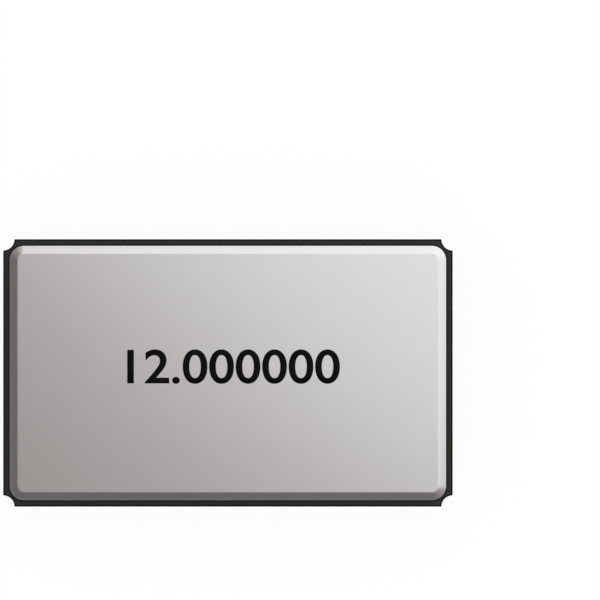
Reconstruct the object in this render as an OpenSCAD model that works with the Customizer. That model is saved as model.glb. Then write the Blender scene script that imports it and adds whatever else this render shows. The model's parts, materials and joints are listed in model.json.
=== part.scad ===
// Four-pad ceramic crystal unit, 6.0 x 3.5 mm class: a black ceramic tray holds a quartz blank
// on two dots of conductive adhesive, and a bevelled metal lid on a brazed seal ring closes it.
// Millimetres. X is the length, Y the width, Z points up out of the lid. The origin is the
// centre of the solder plane, on the underside of the terminal pads.

/* [Ceramic body] */
// Length of the ceramic body along X
body_l = 6.0; // [5.2:0.05:7.5]
// Width of the ceramic body along Y
body_w = 3.57; // [3.2:0.01:5.0]
// Thickness of the ceramic floor
floor_t = 0.30; // [0.2:0.01:0.4]
// Height of the ceramic wall above the floor
wall_h = 0.45; // [0.36:0.01:0.6]
// Width of the ceramic wall around the cavity
wall_t = 0.55; // [0.48:0.01:0.65]
// Radius of the cavity's corners
cavity_r = 0.20; // [0.12:0.01:0.3]
// Radius of the quarter-round castellation in each corner of the body
castellation_r = 0.15; // [0.1:0.01:0.18]
// Height above the cavity floor of the shelf that carries the blank's bonded end
shelf_h = 0.14; // [0.1:0.01:0.18]
// Length along X of the rest bar under the blank's free end
rest_l = 0.30; // [0.2:0.01:0.4]
// Width along Y of the rest bar
rest_w = 1.20; // [0.8:0.05:1.5]
// Clearance between the rest bar and the blank
rest_gap = 0.11; // [0.06:0.01:0.14]

/* [Terminals and conductors] */
// Length of a terminal pad along X
pad_l = 1.28; // [1.15:0.01:1.6]
// Width of a terminal pad along Y
pad_w = 0.89; // [0.85:0.01:1.1]
// Bare ceramic between a terminal pad and the edge of the body
pad_margin = 0.07; // [0.05:0.01:0.1]
// Chamfer that marks terminal 1, on the pad's inner corner
pad_chamfer = 0.48; // [0.2:0.01:0.5]
// Thickness of the plated metal on pads, castellations and traces
plating_t = 0.02; // [0.015:0.005:0.03]
// Radius of a filled via
via_r = 0.06; // [0.04:0.01:0.08]
// Width of the trace on the cavity floor
trace_w = 0.20; // [0.16:0.01:0.26]
// Bare ceramic around each bond pad
bond_margin = 0.06; // [0.04:0.01:0.1]
// Gap between the two bond pads, and between the electrode tabs above them
bond_gap = 0.30; // [0.2:0.01:0.5]

/* [Seal ring and lid] */
// Bare ceramic left in view around the lid
lid_margin = 0.088; // [0.06:0.002:0.12]
// Corner radius of the lid
lid_r = 0.19; // [0.15:0.01:0.3]
// Thickness of the lid
lid_t = 0.12; // [0.1:0.01:0.16]
// Width of the bevel round the lid's upper edge
bevel_w = 0.10; // [0.06:0.01:0.13]
// Height of that bevel
bevel_h = 0.06; // [0.04:0.01:0.08]
// How far the lid overhangs the seal ring
lid_overhang = 0.02; // [0.01:0.005:0.04]
// Height of the seal ring
ring_h = 0.19; // [0.12:0.01:0.25]
// Ledge of ceramic between the seal ring and the cavity
ring_ledge = 0.10; // [0.05:0.01:0.15]
// Thickness of the braze under the seal ring
braze_t = 0.02; // [0.01:0.005:0.03]
// How far the braze runs out past the ring's outer and inner walls
braze_reach = 0.02; // [0.01:0.005:0.03]

/* [Quartz blank] */
// Nominal frequency in MHz, which sets the thickness of the blank
frequency_mhz = 12; // [8:0.5:40]
// Gap between the blank and the cavity's end walls
blank_end_gap = 0.35; // [0.25:0.01:0.45]
// Gap between the blank and the cavity's side walls
blank_side_gap = 0.325; // [0.2:0.005:0.45]
// How far the shelf reaches under the blank's bonded end
bond_overlap = 0.50; // [0.4:0.01:0.65]
// Length of the taper lapped on each end of the blank
taper_l = 0.50; // [0.3:0.01:0.7]
// Share of the thickness that lapping takes off at the ends
taper_share = 0.35; // [0.1:0.05:0.5]
// Thickness of the electrode film
film_t = 0.01; // [0.006:0.002:0.02]
// Bare quartz between an electrode and the blank's ends
electrode_end_margin = 0.85; // [0.75:0.01:1.1]
// Bare quartz between an electrode and the blank's sides
electrode_side_margin = 0.25; // [0.15:0.01:0.35]
// Length of the land where a tab turns back on the blank's other face
land_l = 0.40; // [0.3:0.01:0.5]
// Height of the adhesive under the blank
adhesive_gap = 0.04; // [0.02:0.01:0.06]
// Height of the adhesive above the blank
adhesive_cover = 0.08; // [0.04:0.01:0.12]
// Radius of an adhesive dot where it meets its bond pad
adhesive_r = 0.30; // [0.22:0.01:0.34]
// Distance of a dot's centre in from the blank's end and side
adhesive_inset = 0.14; // [0.1:0.01:0.18]

/* [Hidden] */
$fn = 96;

// Thickness of an AT-cut blank in mm, times its frequency in MHz
AT_CUT_CONSTANT = 1.67;
// Corners in the order of the terminals, counter-clockwise seen from above
CORNERS = [[-1, -1], [1, -1], [1, 1], [-1, 1]];
// Overshoot of a cut past the face that it opens
CUT = 0.1;
// Overlap of two shapes that make one piece
JOIN = 0.1;

BLACK_CERAMIC = "#2d2d2f";
GOLD = "#e6b54a";
TUNGSTEN = "#77777b";
NICKEL = "#bdbab8";
BRAZE_SILVER = "#c9c3b6";
QUARTZ = "#dfe9ee";
SILVER_EPOXY = "#a3a3a0";

// Plan sizes
cavity_l = body_l - 2 * wall_t;
cavity_w = body_w - 2 * wall_t;
blank_l = cavity_l - 2 * blank_end_gap;
blank_w = cavity_w - 2 * blank_side_gap;
shelf_l = blank_end_gap + bond_overlap;
electrode_l = blank_l - 2 * electrode_end_margin;
electrode_w = blank_w - 2 * electrode_side_margin;
lid_l = body_l - 2 * lid_margin;
lid_w = body_w - 2 * lid_margin;

// Levels of the stack, from the solder plane up
cavity_z = plating_t + floor_t;
shelf_z = cavity_z + shelf_h;
bond_z = shelf_z + plating_t;
rim_z = cavity_z + wall_h;
ring_z = rim_z + braze_t;
lid_z = ring_z + ring_h;

// The blank lies on the adhesive over the bond pads
blank_t = AT_CUT_CONSTANT / frequency_mhz;
blank_under_z = bond_z + adhesive_gap + film_t;
blank_z = blank_under_z + blank_t / 2;

// Signal vias stand on the shelf's middle line, half-way from the pads' inner edge to the cavity wall
pad_inner_y = body_w / 2 - pad_margin - pad_w;
via_x = cavity_l / 2 - shelf_l / 2;
via_y = (cavity_w / 2 + pad_inner_y) / 2;

// Corner of a centred rectangle, by the number of the terminal there
function corner(number, l, w) = [CORNERS[number - 1].x * l / 2, CORNERS[number - 1].y * w / 2, 0];

// Outline of a centred rectangle with round corners
module rounded_rect(l, w, r) {
    square([l - 2 * r, w], center = true);
    square([l, w - 2 * r], center = true);
    for (number = [1:4]) translate(corner(number, l - 2 * r, w - 2 * r)) circle(r);
}

// Places children at one corner of the body, with the body in their +X +Y quarter
module at_corner(number) {
    place = corner(number, body_l, body_w);
    translate(place) mirror([place.x > 0 ? 1 : 0, 0, 0]) mirror([0, place.y > 0 ? 1 : 0, 0]) children();
}

// Extrudes a section drawn in X and Z along Y, centred
module along_y(width) {
    rotate([90, 0, 0]) linear_extrude(width, center = true) children();
}

// Tray of black ceramic: floor, wall, corner castellations, mounting shelf and rest bar.
// In the floor layer the castellations are deeper by the plating that lines them.
module ceramic_base() {
    rest_h = blank_under_z - rest_gap - cavity_z;
    color(BLACK_CERAMIC) difference() {
        union() {
            difference() {
                translate([0, 0, plating_t]) linear_extrude(floor_t + wall_h)
                    square([body_l, body_w], center = true);
                translate([0, 0, cavity_z]) linear_extrude(wall_h + CUT)
                    rounded_rect(cavity_l, cavity_w, cavity_r);
            }
            translate([-cavity_l / 2 - JOIN, -cavity_w / 2 - JOIN, cavity_z - JOIN])
                cube([shelf_l + JOIN, cavity_w + 2 * JOIN, shelf_h + JOIN]);
            translate([blank_l / 2 - rest_l, -rest_w / 2, cavity_z - JOIN])
                cube([rest_l, rest_w, rest_h + JOIN]);
        }
        for (number = [1:4]) at_corner(number) {
            cylinder(r = castellation_r, h = rim_z + CUT);
            cylinder(r = castellation_r + plating_t, h = cavity_z);
        }
        conductors();
    }
}

// Solder terminal: a pad on the underside and the lining of its corner castellation
module terminal(number) {
    color(GOLD) at_corner(number) {
        linear_extrude(plating_t) difference() {
            translate([pad_margin, pad_margin]) pad_outline(number == 1);
            circle(castellation_r);
        }
        rotate_extrude(angle = 90) translate([castellation_r, 0]) square([plating_t, cavity_z]);
    }
}

// Outline of a pad from its outer corner, with the inner corner cut off where it marks terminal 1
module pad_outline(marked) {
    difference() {
        square([pad_l, pad_w]);
        if (marked) translate([pad_l, pad_w]) rotate(45) square(pad_chamfer * sqrt(2), center = true);
    }
}

// Filled via from one level to another
module via(x, y, from_z, to_z) {
    color(TUNGSTEN) translate([x, y, from_z]) cylinder(r = via_r, h = to_z - from_z);
}

// Bond pad 1 to terminal 1
module signal_via_1() {
    via(-via_x, -via_y, plating_t, shelf_z);
}

// Bond pad 2 to the trace under the shelf
module signal_via_2() {
    via(-via_x, via_y, cavity_z + plating_t, shelf_z);
}

// Far end of the trace to terminal 3
module signal_via_3() {
    via(via_x, via_y, plating_t, cavity_z);
}

// Seal ring to one of the two ground terminals, inside the wall
module ground_via(number) {
    place = corner(number, body_l - wall_t, body_w - wall_t);
    via(place.x, place.y, plating_t, rim_z);
}

// Trace on the cavity floor, from under the shelf to the far via
module floor_trace() {
    color(GOLD) translate([0, via_y, cavity_z]) linear_extrude(plating_t) {
        square([2 * via_x, trace_w], center = true);
        for (end = [-via_x, via_x]) translate([end, 0]) circle(trace_w / 2);
    }
}

// Everything that is fired into the ceramic
module conductors() {
    signal_via_1();
    signal_via_2();
    signal_via_3();
    ground_via(2);
    ground_via(4);
    floor_trace();
}

// Bond pad on the shelf, 1 on the -Y side and 2 on the +Y side, inside a margin that follows the cavity
module bond_pad(number) {
    near_y = number == 1 ? -cavity_w / 2 : bond_gap / 2;
    color(GOLD) translate([0, 0, shelf_z]) linear_extrude(plating_t) intersection() {
        rounded_rect(cavity_l - 2 * bond_margin, cavity_w - 2 * bond_margin, cavity_r - bond_margin);
        translate([-cavity_l / 2, near_y]) square([shelf_l - bond_margin, (cavity_w - bond_gap) / 2]);
    }
}

// Section of the blank along its length, with lapped ends, grown by a film's thickness
module blank_section(grow = 0) {
    end = blank_l / 2 + grow;
    flat = blank_l / 2 - taper_l;
    middle_t = blank_t / 2 + grow;
    end_t = blank_t / 2 * (1 - taper_share) + grow;
    polygon([[-end, -end_t], [-flat, -middle_t], [flat, -middle_t], [end, -end_t],
        [end, end_t], [flat, middle_t], [-flat, middle_t], [-end, end_t]]);
}

module blank_shape() {
    along_y(blank_w) blank_section();
}

// Section of a film all round the blank
module film_section() {
    difference() {
        blank_section(film_t);
        blank_section();
    }
}

// Electrode film on the blank's upper face. Its tab runs on along one side, turns round the bonded end
// and stops at a land on the lower face.
module electrode_shape() {
    tab_w = (electrode_w - bond_gap) / 2;
    cut_l = blank_l + CUT;
    cut_h = blank_t / 2 + film_t + CUT;
    along_y(electrode_w) intersection() {
        film_section();
        translate([-electrode_l / 2, 0]) square([electrode_l, cut_h]);
    }
    translate([0, (bond_gap + tab_w) / 2, 0]) along_y(tab_w) difference() {
        film_section();
        translate([JOIN - electrode_l / 2, 0]) square([cut_l, cut_h]);
        translate([land_l - blank_l / 2, -cut_h]) square([cut_l, cut_h]);
    }
}

module quartz_blank() {
    color(QUARTZ) translate([0, 0, blank_z]) blank_shape();
}

module upper_electrode() {
    color(GOLD) translate([0, 0, blank_z]) electrode_shape();
}

module lower_electrode() {
    color(GOLD) translate([0, 0, blank_z]) rotate([180, 0, 0]) electrode_shape();
}

// Dot of silver-filled adhesive, a cap of a sphere that wraps one corner of the blank
module adhesive_dot(number) {
    side = number == 1 ? -1 : 1;
    h = adhesive_gap + blank_t + 2 * film_t + adhesive_cover;
    sphere_r = (adhesive_r * adhesive_r + h * h) / (2 * h);
    color(SILVER_EPOXY) difference() {
        translate([adhesive_inset - blank_l / 2, side * (blank_w / 2 - adhesive_inset), bond_z])
            intersection() {
                translate([0, 0, h - sphere_r]) sphere(sphere_r);
                translate([-sphere_r, -sphere_r, 0]) cube([2 * sphere_r, 2 * sphere_r, h + CUT]);
            }
        translate([0, 0, blank_z]) {
            blank_shape();
            electrode_shape();
            rotate([180, 0, 0]) electrode_shape();
        }
    }
}

// Frame around the cavity, reaching past the seal ring's walls on both sides
module ring_frame(h, reach = 0) {
    outer = 2 * (reach - lid_overhang);
    inner = 2 * (ring_ledge - reach);
    linear_extrude(h) difference() {
        rounded_rect(lid_l + outer, lid_w + outer, lid_r + outer / 2);
        rounded_rect(cavity_l + inner, cavity_w + inner, cavity_r);
    }
}

// Braze that joins the seal ring to the ceramic's rim
module ring_braze() {
    color(BRAZE_SILVER) translate([0, 0, rim_z]) ring_frame(braze_t, braze_reach);
}

module seal_ring() {
    color(GOLD) translate([0, 0, ring_z]) ring_frame(ring_h);
}

// Section of the lid from its middle, or from a corner's centre, out to its bevelled edge
module lid_section(reach) {
    polygon([[0, 0], [reach, 0], [reach, lid_t - bevel_h], [reach - bevel_w, lid_t], [0, lid_t]]);
}

// Stamped lid with a bevel all round: four straight runs and four turned corners
module lid() {
    run_l = lid_l - 2 * lid_r;
    run_w = lid_w - 2 * lid_r;
    color(NICKEL) translate([0, 0, lid_z]) {
        for (turn = [0, 180]) rotate(turn) rotate([90, 0, 90])
            linear_extrude(run_l, center = true) lid_section(lid_w / 2);
        for (turn = [90, 270]) rotate(turn) rotate([90, 0, 90])
            linear_extrude(run_w, center = true) lid_section(lid_l / 2);
        for (number = [1:4]) translate(corner(number, run_l, run_w)) rotate_extrude() lid_section(lid_r);
    }
}

ceramic_base();
for (number = [1:4]) terminal(number);
signal_via_1();
signal_via_2();
signal_via_3();
floor_trace();
for (number = [2, 4]) ground_via(number);
for (number = [1, 2]) bond_pad(number);
for (number = [1, 2]) adhesive_dot(number);
quartz_blank();
upper_electrode();
lower_electrode();
ring_braze();
seal_ring();
lid();
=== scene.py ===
"""Looks of a four-pad ceramic crystal unit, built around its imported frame.

Pieces are shaped in millimetres, because Blender's mesh tools merge points that lie closer than a micrometre
in metres, and each finished mesh is scaled to the frame's metres.
"""

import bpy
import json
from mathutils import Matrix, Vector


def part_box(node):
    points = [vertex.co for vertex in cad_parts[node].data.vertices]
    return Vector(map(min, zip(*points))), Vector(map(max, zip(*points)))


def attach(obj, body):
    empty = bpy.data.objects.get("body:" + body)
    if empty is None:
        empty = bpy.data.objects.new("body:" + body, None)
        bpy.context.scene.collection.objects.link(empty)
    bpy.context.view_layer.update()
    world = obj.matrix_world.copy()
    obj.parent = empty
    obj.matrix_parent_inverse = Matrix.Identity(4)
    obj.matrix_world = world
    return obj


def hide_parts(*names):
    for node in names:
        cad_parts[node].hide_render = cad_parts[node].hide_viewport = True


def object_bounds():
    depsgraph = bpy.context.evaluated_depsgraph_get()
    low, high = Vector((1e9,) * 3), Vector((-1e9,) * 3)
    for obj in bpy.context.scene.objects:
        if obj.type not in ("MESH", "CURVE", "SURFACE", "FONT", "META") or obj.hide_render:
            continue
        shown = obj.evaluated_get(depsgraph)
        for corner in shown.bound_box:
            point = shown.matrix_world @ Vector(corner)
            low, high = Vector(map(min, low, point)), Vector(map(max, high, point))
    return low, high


bl_info = {
    "name": "Ceramic crystal unit",
    "version": (1, 0, 0),
    "blender": (4, 5, 0),
    "location": "View3D > Sidebar > Crystal",
    "description": "Dresses the ceramic tray, terminals, seal ring and lid of a crystal unit, and lights it",
    "category": "Add Mesh",
}

import json
import math

import bmesh
import bpy
from bpy.props import FloatProperty, FloatVectorProperty, PointerProperty, StringProperty
from mathutils import Matrix, Vector

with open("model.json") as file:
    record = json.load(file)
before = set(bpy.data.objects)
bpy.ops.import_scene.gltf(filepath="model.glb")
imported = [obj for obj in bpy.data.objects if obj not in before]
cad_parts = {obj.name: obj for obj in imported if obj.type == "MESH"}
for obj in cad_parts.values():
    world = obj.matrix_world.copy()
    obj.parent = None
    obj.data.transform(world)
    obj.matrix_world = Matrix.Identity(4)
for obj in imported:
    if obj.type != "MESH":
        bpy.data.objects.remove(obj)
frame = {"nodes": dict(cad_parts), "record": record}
cad_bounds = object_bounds()

MM = 0.001
# Corners of the body, counter-clockwise from +X +Y, and the terminals in the same order
CORNERS = ((1, 1), (-1, 1), (-1, -1), (1, -1))
TERMINALS = ("terminal_3", "terminal_4", "terminal_1", "terminal_2")
MARKED_TERMINAL = "terminal_1"
QUARTER = math.radians(90)
ARC_STEPS = 16
NOTCH_STEPS = 8
# Edges that turn by more than this are rounded
SHARP = math.radians(25)
# Faces closer to one plane than this are one face
FLAT = math.radians(1)
# Distance in mm under which two points are one
SAME = 1e-5
# Places of the tent's four tones, from 0 across from its brightest spot to 1 at that spot
TENT_STOPS = (0.45, 0.75, 0.83, 1.0)
# Steps round the floor and the tent
STAGE_STEPS = 64
# Usual range of a noise's values
NOISE_RANGE = (0.3, 0.7)
# Share of a dark line's width that has its full depth
LINE_CORE = 0.6
# How far down from the rim's top the painted shade along its edges reaches, in roundings of the fired edges
RIM_REACH = 1.5
# How far below the cavity's floor the seam lies, in half widths of its line
SEAM_DROP = 1.5
# Rounding of the braze's upper edges, as a share of its reach
BRAZE_ROUNDING = 0.8


def size(name, description, millimetres):
    """Property for a length that a user may change, given in mm and kept in metres."""
    return FloatProperty(name=name, description=description, default=millimetres * MM, min=0.0, unit="LENGTH",
                         precision=6)


def angle(name, description, degrees):
    """Property for an angle that a user may change, given in degrees and kept in radians."""
    return FloatProperty(name=name, description=description, default=math.radians(degrees), unit="ROTATION")


def colour(name, description, red, green, blue):
    """Property for a linear colour that a user may change."""
    return FloatVectorProperty(name=name, description=description, default=(red, green, blue), min=0.0,
                               soft_max=1.0, subtype="COLOR")


def level(name, description, value):
    """Property for a plain number that a user may change."""
    return FloatProperty(name=name, description=description, default=value, min=0.0)


class TraySettings(bpy.types.PropertyGroup):
    """Sizes and tones of the ceramic tray"""

    floor: size("Floor", "Thickness of the ceramic floor", 0.30)
    wall: size("Wall", "Width of the wall round the cavity", 0.55)
    cavity_radius: size("Cavity radius", "Radius of the cavity's corners", 0.20)
    notch: size("Notch", "Radius of the quarter-round notch in each corner", 0.15)
    shelf_length: size("Shelf length", "Length of the shelf under the blank's bonded end", 0.85)
    shelf_height: size("Shelf height", "Height of that shelf above the cavity's floor", 0.14)
    rest_length: size("Rest length", "Length of the rest bar under the blank's free end", 0.30)
    rest_width: size("Rest width", "Width of the rest bar", 1.20)
    rest_height: size("Rest height", "Height of the rest bar above the cavity's floor", 0.10)
    point: size("Point", "Rounding of the points where a notch meets the sides", 0.008)
    edge: size("Edge", "Rounding of the fired edges", 0.012)
    # Painted shade: a darker tone along the rim's outer edge, and a painted contact shadow on the rim beside
    # the lid
    painted_edge_shade: size("Edge line", "Width of the dark line along the rim's outer edge", 0.026)
    painted_lid_shadow: size("Lid line", "Width of the dark line on the rim beside the lid", 0.022)
    painted_shade_depth: level("Line depth", "Share of its tone that the ceramic loses in those lines", 0.75)
    seam: size("Seam", "Half the width of the line where the ceramic's two sheets meet", 0.009)
    seam_depth: level("Seam depth", "Share of its tone that the ceramic loses in that line", 0.45)
    body: colour("Body", "Black ceramic", 0.0285, 0.0300, 0.0320)
    grain: colour("Grain", "Paler grains in the ceramic", 0.0380, 0.0400, 0.0425)


class TerminalSettings(bpy.types.PropertyGroup):
    """Sizes and tones of the solder pads"""

    plating: size("Plating", "Thickness of the plated metal", 0.02)
    margin: size("Margin", "Bare ceramic between a pad and the body's edge", 0.07)
    chamfer: size("Chamfer", "Chamfer on the marked pad's inner corner", 0.48)
    corner: size("Corner", "Rounding of a pad's corners in plan", 0.02)
    edge: size("Edge", "Rounding of the plating's edges", 0.005)
    gold: colour("Gold", "Gold plating", 0.98, 0.50, 0.085)
    pale_gold: colour("Pale gold", "Lighter streaks in the plating", 1.00, 0.74, 0.17)


class SealSettings(bpy.types.PropertyGroup):
    """Sizes and tones of the seal ring and its braze"""

    ledge: size("Ledge", "Ceramic between the ring's opening and the cavity", 0.10)
    ring_radius: size("Ring radius", "Radius of the ring's outer corners", 0.17)
    reach: size("Reach", "How far the braze runs out past the ring", 0.02)
    edge: size("Edge", "Rounding of the ring's edges", 0.012)
    ring: colour("Ring", "Gold flash on the ring", 0.86, 0.58, 0.20)
    braze: colour("Braze", "Silver-copper braze", 0.62, 0.58, 0.52)


class LidSettings(bpy.types.PropertyGroup):
    """Sizes and tones of the lid"""

    radius: size("Radius", "Radius of the lid's corners", 0.19)
    bevel_width: size("Bevel width", "Width of the bevel round the upper edge", 0.10)
    bevel_height: size("Bevel height", "Height of that bevel", 0.06)
    crease: size("Crease", "Softness of the crease between face and bevel", 0.010)
    edge: size("Edge", "Rounding of the lid's outer edges", 0.002)
    nickel: colour("Nickel", "Satin nickel", 0.70, 0.69, 0.69)
    pale_nickel: colour("Pale nickel", "Brighter grains of the satin", 0.73, 0.72, 0.72)


class MarkingSettings(bpy.types.PropertyGroup):
    """Words, place and tone of the print on the lid"""

    text: StringProperty(name="Text", description="Frequency printed on the lid", default="12.000000")
    width: size("Width", "Width of the printed line", 2.84)
    height: size("Height", "Height of its figures", 0.46)
    weight: level("Weight", "How far the strokes are thickened, in units of the type", 0.014)
    right: size("Right", "Distance of the line's middle to the right of the lid's", 0.075)
    up: size("Up", "Distance of the line's middle above the lid's", 0.085)
    thickness: size("Thickness", "Thickness of the ink", 0.002)
    ink: colour("Ink", "Marking ink", 0.0032, 0.0028, 0.0029)


class InnerSettings(bpy.types.PropertyGroup):
    """Tones of what the package holds"""

    quartz: colour("Quartz", "Lapped quartz", 0.86, 0.92, 0.94)
    pale_quartz: colour("Pale quartz", "Clearer spots of the quartz", 0.94, 0.97, 0.98)
    adhesive: colour("Adhesive", "Silver-filled adhesive", 0.30, 0.30, 0.29)
    flakes: colour("Flakes", "Silver flakes in the adhesive", 0.56, 0.56, 0.54)
    tungsten: colour("Tungsten", "Sintered tungsten in the vias", 0.16, 0.16, 0.17)
    pale_tungsten: colour("Pale tungsten", "Brighter grains of the tungsten", 0.26, 0.26, 0.27)
    film: colour("Film", "Gold film of the electrodes", 0.90, 0.62, 0.20)
    pale_film: colour("Pale film", "Lighter places of that film", 0.96, 0.74, 0.30)


class StageSettings(bpy.types.PropertyGroup):
    """Picture, floor and light"""

    picture: level("Picture", "Side of the square picture in pixels", 600.0)
    part_length: level("Part length", "Length of the part in that picture, in pixels", 449.42)
    part_column: level("Part column", "Pixel column of the part's centre", 227.94)
    part_row: level("Part row", "Pixel row of the part's centre, from the top", 372.95)
    camera_height: size("Camera height", "Height of the camera above the floor", 60.0)
    floor_radius: size("Floor radius", "Radius of the floor", 150.0)
    floor_paint: colour("Floor paint", "Paint of the floor", 0.95, 0.95, 0.95)
    floor_glow: level("Floor glow", "Share of the floor's white that shadow doesn't darken", 0.93)
    tent_radius: size("Tent radius", "Radius of the shaded tent that the metal reflects", 14.0)
    spot_turn: angle("Spot turn", "Turn of the tent's brightest spot from +X towards +Y", 50.0)
    spot_height: angle("Spot height", "Angle of that spot above the floor", 35.0)
    key_distance: size("Key distance", "Distance of the key light", 60.0)
    key_size: size("Key size", "Side of the square key light", 40.0)
    key_power: FloatProperty(name="Key power", description="Power of the key light", default=0.007, min=0.0,
                             unit="POWER")
    fill: level("Fill", "Strength of the light from all round", 0.90)
    tent_dark: colour("Tent dark", "Darkest tone of the tent", 0.176, 0.168, 0.168)
    tent_low: colour("Tent low", "Tone on the dark side of the tent's top", 0.475, 0.430, 0.420)
    tent_high: colour("Tent high", "Tone on the bright side of the tent's top", 1.05, 1.05, 1.06)
    tent_bright: colour("Tent bright", "Tone of the tent's brightest spot", 1.32, 1.32, 1.34)


class CrystalSettings(bpy.types.PropertyGroup):
    """All settings of the crystal unit"""

    tray: PointerProperty(type=TraySettings)
    terminals: PointerProperty(type=TerminalSettings)
    seal: PointerProperty(type=SealSettings)
    lid: PointerProperty(type=LidSettings)
    marking: PointerProperty(type=MarkingSettings)
    inner: PointerProperty(type=InnerSettings)
    stage: PointerProperty(type=StageSettings)


# Shaping


def node_span(node):
    """Lowest and highest corner of a frame node, in mm."""
    low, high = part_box(node)
    return low / MM, high / MM


def outline(bm, half, radius, z, notched=False):
    """Edges of a ring round a rectangle of those half sizes, with round or quarter-notched corners, in mm."""
    before = set(bm.edges)
    ends = []
    for turn, (side_x, side_y) in enumerate(CORNERS):
        inset = 0.0 if notched else radius
        centre = Vector((side_x * (half.x - inset), side_y * (half.y - inset), z))
        start = QUARTER * (turn - 1 if notched else turn)
        first = bm.verts.new(centre + radius * Vector((math.cos(start), math.sin(start), 0.0)))
        swept = bmesh.ops.spin(bm, geom=[first], cent=centre, axis=(0, 0, 1),
                               angle=-QUARTER if notched else QUARTER,
                               steps=NOTCH_STEPS if notched else ARC_STEPS)
        ends.append((first, swept["geom_last"][0]))
    for turn, (_, last) in enumerate(ends):
        bm.edges.new((last, ends[(turn + 1) % len(ends)][0]))
    return [edge for edge in bm.edges if edge not in before]


def fill(bm, ring):
    """Face inside a ring of edges."""
    return bmesh.ops.contextual_create(bm, geom=ring)["faces"][0]


def verts_of(geometry):
    """Vertices among what a mesh operator returned."""
    return [g for g in geometry if isinstance(g, bmesh.types.BMVert)]


def faces_of(geometry):
    """Faces among what a mesh operator returned."""
    return [g for g in geometry if isinstance(g, bmesh.types.BMFace)]


def extruded(bm, faces, height):
    """Extrudes faces along Z and returns the faces that moved."""
    edges = dict.fromkeys(edge for face in faces for edge in face.edges)
    grown = bmesh.ops.extrude_face_region(bm, geom=[*faces, *edges])["geom"]
    bmesh.ops.translate(bm, vec=(0, 0, height), verts=verts_of(grown))
    return faces_of(grown)


def split(bm, face, point, direction):
    """Cuts one face by a plane and returns its parts, in order along the plane's direction."""
    geometry = [face, *face.edges, *face.verts]
    cut = bmesh.ops.bisect_plane(bm, geom=geometry, dist=SAME, plane_co=point, plane_no=direction)
    return sorted(faces_of(cut["geom"]), key=lambda part: part.calc_center_median().dot(Vector(direction)))


def straighten(bm):
    """Merges faces that lie in one plane, and turns every face outwards."""
    bmesh.ops.remove_doubles(bm, verts=bm.verts, dist=SAME)
    bmesh.ops.dissolve_limit(bm, angle_limit=FLAT, verts=bm.verts, edges=bm.edges)
    bmesh.ops.recalc_face_normals(bm, faces=bm.faces)


def convex_edges(bm):
    """Edges that stand out and turn sharply."""
    return [edge for edge in bm.edges if edge.is_convex and edge.calc_face_angle(0.0) > SHARP]


def round_edges(bm, edges, radius, segments=3):
    """Rounds edges by a radius in mm."""
    bmesh.ops.bevel(bm, geom=edges, offset=radius, segments=segments, profile=0.5, affect="EDGES",
                    material=-1, clamp_overlap=True)


def frame_ring(outer_half, outer_radius, inner_half, inner_radius, low_z, high_z):
    """Flat frame between two rounded rectangles, in mm."""
    bm = bmesh.new()
    outer = outline(bm, outer_half, outer_radius, low_z)
    inner = outline(bm, inner_half, inner_radius, low_z)
    faces = bmesh.ops.bridge_loops(bm, edges=outer + inner)["faces"]
    extruded(bm, faces, high_z - low_z)
    bmesh.ops.recalc_face_normals(bm, faces=bm.faces)
    return bm


def finish_piece(bm, name, material, node=None):
    """Scales a mesh in mm to the frame's metres and rides it, in place of a node if one is named."""
    bmesh.ops.remove_doubles(bm, verts=bm.verts, dist=SAME)
    bmesh.ops.recalc_face_normals(bm, faces=bm.faces)
    bmesh.ops.scale(bm, vec=(MM, MM, MM), verts=bm.verts)
    mesh = bpy.data.meshes.new(name)
    bm.to_mesh(mesh)
    bm.free()
    mesh.shade_smooth()
    mesh.materials.append(material)
    piece = bpy.data.objects.new(name, mesh)
    bpy.context.scene.collection.objects.link(piece)
    normals = piece.modifiers.new("Flat faces stay flat", "WEIGHTED_NORMAL")
    normals.keep_sharp = True
    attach(piece, "root")
    if node:
        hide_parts(node)


# Finishes


def new_material(name):
    """New material, with its node tree and its shader."""
    material = bpy.data.materials.new(name)
    material.use_nodes = True
    tree = material.node_tree
    return material, tree, tree.nodes["Principled BSDF"]


def add_node(tree, kind, **inputs):
    """New node of a kind, with the inputs given by their names in lower case."""
    node = tree.nodes.new("ShaderNode" + kind)
    for name, value in inputs.items():
        node.inputs[name.replace("_", " ").title()].default_value = value
    return node


def noise(tree, per_mm, detail=3.0, stretch=(1.0, 1.0, 1.0), turn=0.0):
    """Noise fixed to the piece, with so many features to the millimetre along its turned axes."""
    place = tree.nodes.new("ShaderNodeTexCoord")
    mapping = add_node(tree, "Mapping", scale=[MM / s for s in stretch], rotation=(0.0, 0.0, turn))
    mapping.vector_type = "TEXTURE"
    texture = add_node(tree, "TexNoise", scale=per_mm, detail=detail)
    tree.links.new(place.outputs["Object"], mapping.inputs["Vector"])
    tree.links.new(mapping.outputs["Vector"], texture.inputs["Vector"])
    return texture.outputs["Fac"]


def paler(tone, times):
    """Tone made brighter by a factor."""
    return [times * channel for channel in tone]


def tones(tree, factor, *stops):
    """Colour that runs from tone to tone as a factor passes their places."""
    ramp = tree.nodes.new("ShaderNodeValToRGB")
    elements = ramp.color_ramp.elements
    while len(elements) < len(stops):
        elements.new(1.0)
    for element, (place, tone) in zip(elements, stops):
        element.position = place
        element.color = (*tone, 1.0)
    tree.links.new(factor, ramp.inputs["Fac"])
    return ramp.outputs["Color"]


def spread(tree, factor, low, high):
    """Number that runs from low to high over the usual range of a noise."""
    noise_low, noise_high = NOISE_RANGE
    node = add_node(tree, "MapRange", from_min=noise_low, from_max=noise_high, to_min=low, to_max=high)
    tree.links.new(factor, node.inputs["Value"])
    return node.outputs["Result"]


def add_bump(tree, shader, height, depth):
    """Bump of a depth in mm."""
    bump = add_node(tree, "Bump", distance=depth * MM)
    tree.links.new(height, bump.inputs["Height"])
    tree.links.new(bump.outputs["Normal"], shader.inputs["Normal"])


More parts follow.
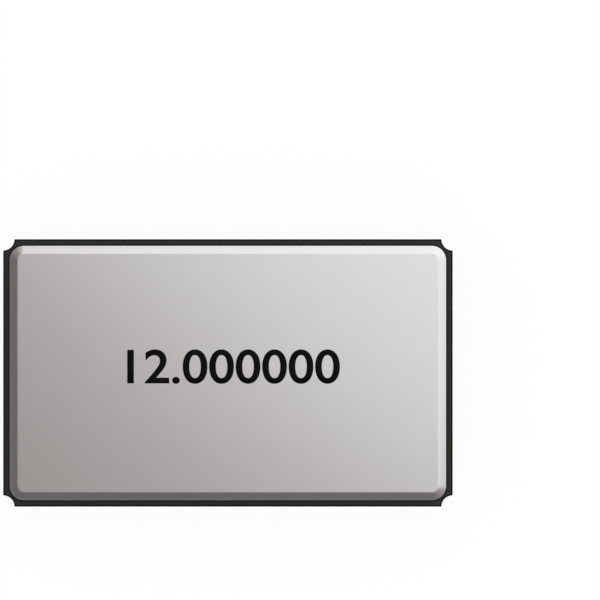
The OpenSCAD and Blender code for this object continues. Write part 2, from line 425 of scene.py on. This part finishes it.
def calculate(tree, operation, *values, kind="Math", result="Value"):
    """Result of one sum, on constants or on outputs of other nodes."""
    node = tree.nodes.new("ShaderNode" + kind)
    node.operation = operation
    for socket, value in zip(node.inputs, values):
        if isinstance(value, bpy.types.NodeSocket):
            tree.links.new(value, socket)
        else:
            socket.default_value = value
    return node.outputs[result]


def calculate_vector(tree, operation, *values, result="Vector"):
    """Result of one sum on vectors."""
    return calculate(tree, operation, *values, kind="VectorMath", result=result)


def dark_line(tree, distance, width, depth):
    """Share of its tone that a surface keeps near a line, by the distance from it."""
    near = add_node(tree, "MapRange", from_min=LINE_CORE * width, from_max=width, to_min=1.0 - depth)
    near.interpolation_type = "SMOOTHSTEP"
    tree.links.new(distance, near.inputs["Value"])
    return near.outputs["Result"]


def seam_line_and_painted_rim_shade(tree, settings):
    """Share of its tone that the ceramic keeps: less under the painted shade along its rim's outer edge and
    the painted contact shadow beside the lid, and less where its two sheets meet.
    """
    tray = settings.tray
    bottom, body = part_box("ceramic_base")
    _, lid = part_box("lid")
    radius = settings.lid.radius
    place = tree.nodes.new("ShaderNodeTexCoord").outputs["Object"]
    plan = calculate_vector(tree, "ABSOLUTE", calculate_vector(tree, "MULTIPLY", place, (1, 1, 0)))

    inwards = calculate_vector(tree, "SUBTRACT", (body.x, body.y, 0), plan)
    sides = tree.nodes.new("ShaderNodeSeparateXYZ")
    tree.links.new(inwards, sides.inputs["Vector"])
    to_corner = calculate_vector(tree, "LENGTH", inwards, result="Value")
    from_notch = calculate(tree, "SUBTRACT", to_corner, tray.notch)
    from_side = calculate(tree, "MINIMUM", sides.outputs["X"], sides.outputs["Y"])
    from_edge = calculate(tree, "MINIMUM", from_side, from_notch)

    # Distance from the lid's outline, for the painted contact shadow on the rim beside the lid
    outwards = calculate_vector(tree, "SUBTRACT", plan, (lid.x - radius, lid.y - radius, 0))
    past_arc_centre = calculate_vector(tree, "MAXIMUM", outwards, (0, 0, 0))
    to_arc = calculate_vector(tree, "LENGTH", past_arc_centre, result="Value")
    from_lid = calculate(tree, "SUBTRACT", to_arc, radius)

    height = tree.nodes.new("ShaderNodeSeparateXYZ")
    tree.links.new(place, height.inputs["Vector"])
    below_rim = calculate(tree, "LESS_THAN", height.outputs["Z"], body.z - RIM_REACH * tray.edge)
    # Painted shade on the rim's top: darker along its outer edge, with a painted contact shadow beside the
    # lid
    rim = calculate(tree, "MULTIPLY", dark_line(tree, from_edge, tray.painted_edge_shade, tray.painted_shade_depth),
                    dark_line(tree, from_lid, tray.painted_lid_shadow, tray.painted_shade_depth))
    seam_z = bottom.z + tray.floor - SEAM_DROP * tray.seam
    from_seam = calculate(tree, "ABSOLUTE", calculate(tree, "SUBTRACT", height.outputs["Z"], seam_z))
    return calculate(tree, "MULTIPLY", calculate(tree, "MAXIMUM", rim, below_rim),
                     dark_line(tree, from_seam, tray.seam, tray.seam_depth))


def ceramic_finish(settings):
    """Matt black fired ceramic with a fine grain, painted shade along its rim's outer edge and beside the
    lid, and a darker line at its seam.
    """
    tray = settings.tray
    material, tree, shader = new_material("black_ceramic")
    grain = noise(tree, per_mm=45.0)
    fired = tones(tree, grain, (0.40, tray.body), (0.72, tray.grain))
    seamed_and_painted_shade = calculate_vector(tree, "MULTIPLY", fired, seam_line_and_painted_rim_shade(tree, settings))
    tree.links.new(seamed_and_painted_shade, shader.inputs["Base Color"])
    gloss = spread(tree, noise(tree, per_mm=12.0), low=0.55, high=0.72)
    tree.links.new(gloss, shader.inputs["Roughness"])
    shader.inputs["Specular IOR Level"].default_value = 0.06
    add_bump(tree, shader, grain, depth=0.0015)
    return material


def metal_finish(name, dark, light, per_mm, roughness, depth, **pattern_options):
    """Metal whose tone, gloss and bump follow one noise."""
    material, tree, shader = new_material(name)
    pattern = noise(tree, per_mm, **pattern_options)
    tree.links.new(tones(tree, pattern, (0.35, dark), (0.65, light)), shader.inputs["Base Color"])
    tree.links.new(spread(tree, pattern, *roughness), shader.inputs["Roughness"])
    shader.inputs["Metallic"].default_value = 1.0
    add_bump(tree, shader, pattern, depth)
    return material


def ink_finish(ink):
    """Dark marking ink with a slight grain."""
    material, tree, shader = new_material("marking_ink")
    grain = noise(tree, per_mm=60.0)
    tree.links.new(tones(tree, grain, (0.35, ink), (0.75, paler(ink, 1.6))), shader.inputs["Base Color"])
    tree.links.new(spread(tree, grain, low=0.45, high=0.6), shader.inputs["Roughness"])
    shader.inputs["Specular IOR Level"].default_value = 0.05
    return material


def quartz_finish(inner):
    """Clear quartz with lapped, faintly frosted faces."""
    material, tree, shader = new_material("lapped_quartz")
    frost = noise(tree, per_mm=30.0)
    lapped = tones(tree, frost, (0.3, inner.quartz), (0.7, inner.pale_quartz))
    tree.links.new(lapped, shader.inputs["Base Color"])
    tree.links.new(spread(tree, frost, low=0.12, high=0.25), shader.inputs["Roughness"])
    shader.inputs["Transmission Weight"].default_value = 0.9
    shader.inputs["IOR"].default_value = 1.544
    return material


def adhesive_finish(inner):
    """Cured silver-filled adhesive with flakes."""
    material, tree, shader = new_material("silver_adhesive")
    flakes = noise(tree, per_mm=55.0)
    silver = tones(tree, flakes, (0.35, inner.adhesive), (0.65, inner.flakes))
    tree.links.new(silver, shader.inputs["Base Color"])
    tree.links.new(spread(tree, flakes, low=0.35, high=0.6), shader.inputs["Roughness"])
    shader.inputs["Metallic"].default_value = 0.6
    add_bump(tree, shader, flakes, depth=0.003)
    return material


# Operators


class CRYSTAL_OT_stage(bpy.types.Operator):
    """White floor, shaded tent, key light, surrounding light and a camera that looks straight down"""

    bl_idname = "crystal.stage"
    bl_label = "Stage"

    def execute(self, context):
        stage = context.scene.crystal.stage
        context.scene.view_settings.view_transform = "Standard"
        self.add_floor(context, stage)
        self.add_tent(context, stage)
        self.add_key_light(context, stage)
        self.add_world(context, stage)
        self.add_camera(context, stage)
        return {"FINISHED"}

    @staticmethod
    def seen(tree):
        """1 for camera, glossy and transmission rays, which see the white background, and 0 for others."""
        rays = tree.nodes.new("ShaderNodeLightPath").outputs
        mirrored = calculate(tree, "MAXIMUM", rays["Is Glossy Ray"], rays["Is Transmission Ray"])
        return calculate(tree, "MAXIMUM", rays["Is Camera Ray"], mirrored)

    @staticmethod
    def emptied(owner):
        """Node tree of a material or a world, without the nodes that it came with."""
        owner.use_nodes = True
        owner.node_tree.nodes.clear()
        return owner.node_tree

    @staticmethod
    def mixed(tree, factor, first, second):
        """Shader that runs from the first to the second as a factor goes from 0 to 1."""
        node = tree.nodes.new("ShaderNodeMixShader")
        for socket, source in zip(node.inputs, (factor, first, second)):
            tree.links.new(source, socket)
        return node.outputs["Shader"]

    @staticmethod
    def add_stage_mesh(context, bm, name, material):
        """Object that belongs to the stage and not to the crystal unit."""
        mesh = bpy.data.meshes.new(name)
        bm.to_mesh(mesh)
        bm.free()
        mesh.materials.append(material)
        prop = bpy.data.objects.new(name, mesh)
        context.scene.collection.objects.link(prop)
        return prop

    def add_floor(self, context, stage):
        """White floor, a little darker in shadow, that lets the light and the eye in from below."""
        material = bpy.data.materials.new("white_floor")
        tree = self.emptied(material)
        paint = add_node(tree, "BsdfDiffuse", color=(*stage.floor_paint, 1.0)).outputs["BSDF"]
        glow = add_node(tree, "Emission", strength=1.0).outputs["Emission"]
        clear = tree.nodes.new("ShaderNodeBsdfTransparent").outputs["BSDF"]
        from_below = tree.nodes.new("ShaderNodeNewGeometry").outputs["Backfacing"]
        share = calculate(tree, "MULTIPLY", self.seen(tree), stage.floor_glow)
        white = self.mixed(tree, share, paint, glow)
        out = tree.nodes.new("ShaderNodeOutputMaterial")
        tree.links.new(self.mixed(tree, from_below, white, clear), out.inputs["Surface"])
        bm = bmesh.new()
        bmesh.ops.create_circle(bm, cap_ends=True, segments=STAGE_STEPS, radius=stage.floor_radius)
        floor = self.add_stage_mesh(context, bm, "floor", material)
        floor.visible_diffuse = False
        floor.visible_shadow = False

    def add_tent(self, context, stage):
        """Half dome that only reflections see, shaded by the angle from its brightest spot."""
        material = bpy.data.materials.new("shaded_tent")
        material.cycles.emission_sampling = "NONE"
        tree = self.emptied(material)
        place = tree.nodes.new("ShaderNodeTexCoord").outputs["Object"]
        turn = Matrix.Rotation(stage.spot_turn, 3, "Z") @ Matrix.Rotation(-stage.spot_height, 3, "Y")
        # The sum runs from 0 across from the spot to 1 at the spot
        spot = turn @ Vector((0.5 / stage.tent_radius, 0, 0))
        along_spot = calculate_vector(tree, "DOT_PRODUCT", place, spot, result="Value")
        towards = calculate(tree, "ADD", along_spot, 0.5)
        shades = (stage.tent_dark, stage.tent_low, stage.tent_high, stage.tent_bright)
        glow = add_node(tree, "Emission", strength=1.0)
        out = tree.nodes.new("ShaderNodeOutputMaterial")
        tree.links.new(tones(tree, towards, *zip(TENT_STOPS, shades)), glow.inputs["Color"])
        tree.links.new(glow.outputs["Emission"], out.inputs["Surface"])
        bm = bmesh.new()
        bmesh.ops.create_uvsphere(bm, u_segments=STAGE_STEPS, v_segments=STAGE_STEPS // 2,
                                  radius=stage.tent_radius)
        sphere = [*bm.verts, *bm.edges, *bm.faces]
        bmesh.ops.bisect_plane(bm, geom=sphere, plane_no=(0, 0, 1), clear_inner=True)
        tent = self.add_stage_mesh(context, bm, "tent", material)
        tent.visible_camera = False
        tent.visible_diffuse = False
        tent.visible_transmission = False
        tent.visible_shadow = False

    def add_key_light(self, context, stage):
        """Large soft light from above, for the surfaces that aren't metal."""
        light = bpy.data.lights.new("key_light", "AREA")
        light.size = stage.key_size
        light.energy = stage.key_power
        key = bpy.data.objects.new("key_light", light)
        key.location.z = stage.key_distance
        key.visible_camera = False
        key.visible_glossy = False
        context.scene.collection.objects.link(key)

    def add_world(self, context, stage):
        """White background to the eye and to reflections, and an even fill for the rest."""
        world = bpy.data.worlds.new("white_room")
        context.scene.world = world
        tree = self.emptied(world)
        white = (1.0, 1.0, 1.0, 1.0)
        background = add_node(tree, "Background", color=white, strength=1.0).outputs["Background"]
        fill_light = add_node(tree, "Background", color=white, strength=stage.fill).outputs["Background"]
        out = tree.nodes.new("ShaderNodeOutputWorld")
        tree.links.new(self.mixed(tree, self.seen(tree), fill_light, background), out.inputs["Surface"])

    def add_camera(self, context, stage):
        """Camera without perspective, set so that the part lies where the picture shows it."""
        low, high = cad_bounds
        pixel = (high.x - low.x) / stage.part_length
        centre = (low + high) / 2
        lens = bpy.data.cameras.new("camera")
        lens.type = "ORTHO"
        lens.ortho_scale = pixel * stage.picture
        lens.clip_start = MM
        camera = bpy.data.objects.new("camera", lens)
        camera.location = (centre.x + pixel * (stage.picture / 2 - stage.part_column),
                           centre.y + pixel * (stage.part_row - stage.picture / 2), stage.camera_height)
        context.scene.collection.objects.link(camera)
        context.scene.camera = camera


class CRYSTAL_OT_ceramic_tray(bpy.types.Operator):
    """Ceramic tray with floor, wall, notched corners, mounting shelf and rest bar"""

    bl_idname = "crystal.ceramic_tray"
    bl_label = "Ceramic Tray"

    def execute(self, context):
        settings = context.scene.crystal
        tray = settings.tray
        low, high = node_span("ceramic_base")
        notch = tray.notch / MM
        plated_notch = notch + settings.terminals.plating / MM
        floor_z = low.z + tray.floor / MM
        bm = bmesh.new()
        self.add_block(bm, low, high, floor_z, notch, plated_notch)
        round_edges(bm, self.point_edges(bm, floor_z), tray.point / MM)
        self.sink_cavity(bm, tray, high, floor_z)
        bmesh.ops.recalc_face_normals(bm, faces=bm.faces)
        edges = [edge for edge in convex_edges(bm)
                 if not self.under_plating(edge, high, plated_notch, floor_z)]
        round_edges(bm, edges, tray.edge / MM)
        finish_piece(bm, "ceramic_tray", ceramic_finish(settings), "ceramic_base")
        return {"FINISHED"}

    @staticmethod
    def add_block(bm, low, high, floor_z, notch, plated_notch):
        """Solid block whose notches are deeper below the cavity's floor, by the plating that lines them."""
        ring = outline(bm, high, plated_notch, floor_z, notched=True)
        floor_face = fill(bm, ring)
        for side_x, side_y in CORNERS:
            corner = Vector((side_x * high.x, side_y * high.y, floor_z))
            arc = [edge for edge in ring
                   if all((v.co - corner).length < plated_notch + SAME for v in edge.verts)]
            lip = verts_of(bmesh.ops.extrude_edge_only(bm, edges=arc)["geom"])
            shrink = notch / plated_notch
            bmesh.ops.scale(bm, vec=(shrink, shrink, 1.0), space=Matrix.Translation(-corner), verts=lip)
        extruded(bm, list(bm.faces), high.z - floor_z)
        extruded(bm, [floor_face], low.z - floor_z)
        straighten(bm)

    @staticmethod
    def point_edges(bm, floor_z):
        """Upright edges above the cavity's floor where a notch meets the sides."""
        return [edge for edge in convex_edges(bm)
                if (edge.verts[0].co - edge.verts[1].co).xy.length < SAME
                and min(v.co.z for v in edge.verts) > floor_z - SAME]

    @staticmethod
    def sink_cavity(bm, tray, high, floor_z):
        """Cavity down to the shelf's level, then the deeper floor beside the shelf and the rest bar on it."""
        top = max(bm.faces, key=lambda face: face.calc_center_median().z)
        rim = list(top.edges)
        bmesh.ops.delete(bm, geom=[top], context="FACES_ONLY")
        wall = tray.wall / MM
        half = Vector((high.x - wall, high.y - wall))
        mouth = outline(bm, half, tray.cavity_radius / MM, high.z)
        shelf_height = tray.shelf_height / MM
        foot = bmesh.ops.extrude_edge_only(bm, edges=mouth)["geom"]
        bmesh.ops.translate(bm, vec=(0, 0, floor_z + shelf_height - high.z), verts=verts_of(foot))
        level_face = fill(bm, [g for g in foot if isinstance(g, bmesh.types.BMEdge)
                               and all(abs(v.co.z - floor_z - shelf_height) < SAME for v in g.verts)])
        # The rim's corners are bridged one by one, and the straight stretches between them are filled
        arcs = [edge for edge in rim + mouth if edge.calc_length() < wall]
        for side_x, side_y in CORNERS:
            corner = [edge for edge in arcs
                      if edge.verts[0].co.x * side_x > 0 and edge.verts[0].co.y * side_y > 0]
            bmesh.ops.bridge_loops(bm, edges=corner)
        bmesh.ops.holes_fill(bm, edges=[edge for edge in bm.edges if edge.is_boundary], sides=4)
        shelf_end = tray.shelf_length / MM - half.x
        _, deep = split(bm, level_face, (shelf_end, 0, 0), (1, 0, 0))
        deep = extruded(bm, [deep], -shelf_height)[0]
        blank_end = node_span("quartz_blank")[1].x
        rest_half = tray.rest_width / MM / 2
        _, beyond = split(bm, deep, (blank_end - tray.rest_length / MM, 0, 0), (1, 0, 0))
        strip, _ = split(bm, beyond, (blank_end, 0, 0), (1, 0, 0))
        _, strip = split(bm, strip, (0, -rest_half, 0), (0, 1, 0))
        bar, _ = split(bm, strip, (0, rest_half, 0), (0, 1, 0))
        extruded(bm, [bar], tray.rest_height / MM)

    @staticmethod
    def under_plating(edge, high, plated_notch, floor_z):
        """Whether an edge lies in a notch below the cavity's floor, where the plating covers it."""
        middle = (edge.verts[0].co + edge.verts[1].co) / 2
        to_corner = Vector((high.x - abs(middle.x), high.y - abs(middle.y)))
        return middle.z < floor_z + SAME and to_corner.length < plated_notch + SAME


class CRYSTAL_OT_terminals(bpy.types.Operator):
    """Gold-plated solder pads with the lining of their corner notches"""

    bl_idname = "crystal.terminals"
    bl_label = "Terminals"

    def execute(self, context):
        settings = context.scene.crystal
        terminals = settings.terminals
        gold = metal_finish("gold_plating", terminals.gold, terminals.pale_gold, per_mm=1.1,
                            roughness=(0.24, 0.36), depth=0.0006, detail=1.0, stretch=(0.25, 1.0, 0.25),
                            turn=math.radians(-36))
        for node, sides in zip(TERMINALS, CORNERS):
            bm = self.terminal_mesh(settings, node, sides)
            finish_piece(bm, node + "_plating", gold, node)
        return {"FINISHED"}

    @staticmethod
    def terminal_mesh(settings, node, sides):
        """Terminal drawn in the corner of a body that lies towards +X +Y, then put in its own corner."""
        terminals = settings.terminals
        plating = terminals.plating / MM
        margin = terminals.margin / MM
        notch = settings.tray.notch / MM
        low, high = node_span(node)
        far = high - low
        bm = bmesh.new()
        edge = bm.edges.new((bm.verts.new((notch, 0, plating)), bm.verts.new((notch + plating, 0, plating))))
        lining = [edge, *edge.verts]
        # The pad's sides meet the lining at these turns from one side of the body to the other
        meet = math.asin(margin / (notch + plating))
        shore = []
        for turn in (meet, QUARTER - 2 * meet, meet):
            lining = bmesh.ops.spin(bm, geom=lining, cent=(0, 0, 0), axis=(0, 0, 1), angle=turn,
                                    steps=ARC_STEPS)["geom_last"]
            shore.append(max(verts_of(lining), key=lambda v: v.co.xy.length))
        lining_faces = list(bm.faces)
        arc = [v for v in bm.verts if v.co.xy.length > notch + plating / 2
               and shore[0].co.y - SAME < v.co.y < shore[1].co.y + SAME]
        arc.sort(key=lambda v: -v.co.y)
        corners = [bm.verts.new(place) for place in
                   ((far.x, margin, plating), (far.x, far.y, plating), (margin, far.y, plating))]
        bm.faces.new(arc + corners)
        if node == MARKED_TERMINAL:
            bmesh.ops.bevel(bm, geom=[corners[1]], offset=terminals.chamfer / MM, segments=1, profile=0.5,
                            affect="VERTICES", material=-1)
        # The pad's corners away from the notch are rounded in plan
        plan = [v for v in bm.verts if max(v.co.xy) > far.y / 2]
        bmesh.ops.bevel(bm, geom=plan, offset=terminals.corner / MM, segments=3, profile=0.5,
                        affect="VERTICES", material=-1)
        extruded(bm, list(bm.faces), -plating)
        extruded(bm, lining_faces, far.z - plating)
        straighten(bm)
        round_edges(bm, convex_edges(bm), terminals.edge / MM, segments=2)
        side_x, side_y = sides
        bmesh.ops.scale(bm, vec=(-side_x, -side_y, 1.0), verts=bm.verts)
        body = node_span("ceramic_base")[1]
        bmesh.ops.translate(bm, vec=(side_x * body.x, side_y * body.y, 0.0), verts=bm.verts)
        return bm


class CRYSTAL_OT_seal(bpy.types.Operator):
    """Seal ring under the lid and the braze that joins it to the ceramic"""

    bl_idname = "crystal.seal"
    bl_label = "Seal Ring and Braze"

    def execute(self, context):
        settings = context.scene.crystal
        seal = settings.seal
        radius = settings.tray.cavity_radius / MM
        body = node_span("ceramic_base")[1]
        inset = (settings.tray.wall - seal.ledge) / MM
        opening = Vector((body.x - inset, body.y - inset))
        low, high = node_span("seal_ring")
        bm = frame_ring(high, seal.ring_radius / MM, opening, radius, low.z, high.z)
        round_edges(bm, convex_edges(bm), seal.edge / MM)
        gold = metal_finish("gold_flash", seal.ring, paler(seal.ring, 1.12), per_mm=8.0,
                            roughness=(0.28, 0.42), depth=0.0008, stretch=(1.0, 1.0, 3.0))
        finish_piece(bm, "seal_ring_flashed", gold, "seal_ring")

        reach = seal.reach / MM
        low, high = node_span("ring_braze")
        bm = frame_ring(high, seal.ring_radius / MM + reach, opening - Vector((reach, reach)), radius,
                        low.z, high.z)
        upper = [edge for edge in convex_edges(bm) if min(v.co.z for v in edge.verts) > high.z - SAME]
        round_edges(bm, upper, BRAZE_ROUNDING * reach)
        silver = metal_finish("braze_silver", seal.braze, paler(seal.braze, 1.15), per_mm=14.0,
                              roughness=(0.3, 0.5), depth=0.001)
        finish_piece(bm, "ring_braze_fillet", silver, "ring_braze")
        return {"FINISHED"}


class CRYSTAL_OT_lid(bpy.types.Operator):
    """Stamped lid with a bevel all round"""

    bl_idname = "crystal.lid"
    bl_label = "Lid"

    def execute(self, context):
        settings = context.scene.crystal
        lid = settings.lid
        low, high = node_span("lid")
        # The ink lies within the lid's height, so the face is lower by its thickness
        face_z = high.z - settings.marking.thickness / MM
        bevel_width = lid.bevel_width / MM
        bevel_height = lid.bevel_height / MM
        bm = bmesh.new()
        base = fill(bm, outline(bm, high, lid.radius / MM, low.z))
        top = extruded(bm, [base], face_z - bevel_height - low.z)
        bmesh.ops.recalc_face_normals(bm, faces=bm.faces)
        bmesh.ops.inset_region(bm, faces=top, thickness=bevel_width, depth=bevel_height, use_even_offset=True,
                               use_boundary=True)
        crease = [edge for edge in convex_edges(bm) if min(v.co.z for v in edge.verts) > face_z - SAME]
        round_edges(bm, crease, lid.crease / MM, segments=5)
        outer = [edge for edge in convex_edges(bm)
                 if max(v.co.z for v in edge.verts) < face_z - bevel_height / 2]
        round_edges(bm, outer, lid.edge / MM)
        nickel = metal_finish("nickel_lid", lid.nickel, lid.pale_nickel, per_mm=60.0,
                              roughness=(0.28, 0.32), depth=0.0001)
        finish_piece(bm, "lid_bevelled", nickel, "lid")
        return {"FINISHED"}


class CRYSTAL_OT_marking(bpy.types.Operator):
    """Frequency printed on the middle of the lid"""

    bl_idname = "crystal.marking"
    bl_label = "Marking"

    def execute(self, context):
        marking = context.scene.crystal.marking
        text = bpy.data.curves.new("marking", "FONT")
        text.body = marking.text
        text.offset = marking.weight
        letters = bpy.data.objects.new("marking", text)
        bm = bmesh.new()
        bm.from_mesh(bpy.data.meshes.new_from_object(letters))
        bpy.data.objects.remove(letters)
        low = Vector((min(v.co.x for v in bm.verts), min(v.co.y for v in bm.verts), 0.0))
        high = Vector((max(v.co.x for v in bm.verts), max(v.co.y for v in bm.verts), 0.0))
        thickness = marking.thickness / MM
        lid_top = node_span("lid")[1].z
        bmesh.ops.translate(bm, vec=-(low + high) / 2, verts=bm.verts)
        stretch = (marking.width / MM / (high.x - low.x), marking.height / MM / (high.y - low.y), 1.0)
        bmesh.ops.scale(bm, vec=stretch, verts=bm.verts)
        bmesh.ops.translate(bm, vec=(marking.right / MM, marking.up / MM, lid_top), verts=bm.verts)
        bmesh.ops.remove_doubles(bm, verts=bm.verts, dist=SAME)
        extruded(bm, list(bm.faces), -thickness)
        finish_piece(bm, "marking", ink_finish(marking.ink))
        return {"FINISHED"}


class CRYSTAL_OT_inner_finishes(bpy.types.Operator):
    """Finishes of the blank, its electrodes and adhesive, and of the conductors in the ceramic"""

    bl_idname = "crystal.inner_finishes"
    bl_label = "Inner Finishes"

    def execute(self, context):
        inner = context.scene.crystal.inner
        terminals = context.scene.crystal.terminals
        finishes = {
            "gold_plating": metal_finish("gold_print", terminals.gold, terminals.pale_gold, per_mm=20.0,
                                         roughness=(0.3, 0.45), depth=0.001),
            "tungsten_fill": metal_finish("tungsten_fill", inner.tungsten, inner.pale_tungsten, per_mm=40.0,
                                          roughness=(0.5, 0.7), depth=0.002),
            "quartz": quartz_finish(inner),
            "electrode_film": metal_finish("electrode_film", inner.film, inner.pale_film, per_mm=6.0,
                                           roughness=(0.12, 0.2), depth=0.0003),
            "silver_adhesive": adhesive_finish(inner),
        }
        for subpart in frame["record"]["subparts"]:
            node = frame["nodes"][subpart["node"]]
            # A node that a piece stands for is hidden by now
            if node.hide_render:
                continue
            node.data.materials.clear()
            node.data.materials.append(finishes[subpart["material_slot"]])
        return {"FINISHED"}


OPERATORS = (CRYSTAL_OT_stage, CRYSTAL_OT_ceramic_tray, CRYSTAL_OT_terminals, CRYSTAL_OT_seal, CRYSTAL_OT_lid,
             CRYSTAL_OT_marking, CRYSTAL_OT_inner_finishes)
GROUPS = ("tray", "terminals", "seal", "lid", "marking", "inner", "stage")


class CRYSTAL_PT_panel(bpy.types.Panel):
    """Pieces of the crystal unit and their settings"""

    bl_idname = "CRYSTAL_PT_panel"
    bl_label = "Crystal unit"
    bl_space_type = "VIEW_3D"
    bl_region_type = "UI"
    bl_category = "Crystal"

    def draw(self, context):
        for operator in OPERATORS:
            self.layout.operator(operator.bl_idname)
        for group in GROUPS:
            box = self.layout.box()
            box.label(text=group.title())
            settings = getattr(context.scene.crystal, group)
            for name in settings.__annotations__:
                box.prop(settings, name)


CLASSES = (TraySettings, TerminalSettings, SealSettings, LidSettings, MarkingSettings, InnerSettings,
           StageSettings, CrystalSettings, *OPERATORS, CRYSTAL_PT_panel)


def register():
    for cls in CLASSES:
        bpy.utils.register_class(cls)
    bpy.types.Scene.crystal = PointerProperty(type=CrystalSettings)


def unregister():
    del bpy.types.Scene.crystal
    for cls in reversed(CLASSES):
        bpy.utils.unregister_class(cls)


def main():
    register()
    bpy.ops.crystal.stage()
    bpy.ops.crystal.ceramic_tray()
    bpy.ops.crystal.terminals()
    bpy.ops.crystal.seal()
    bpy.ops.crystal.lid()
    bpy.ops.crystal.marking()
    bpy.ops.crystal.inner_finishes()


if __name__ == "__main__":
    main()
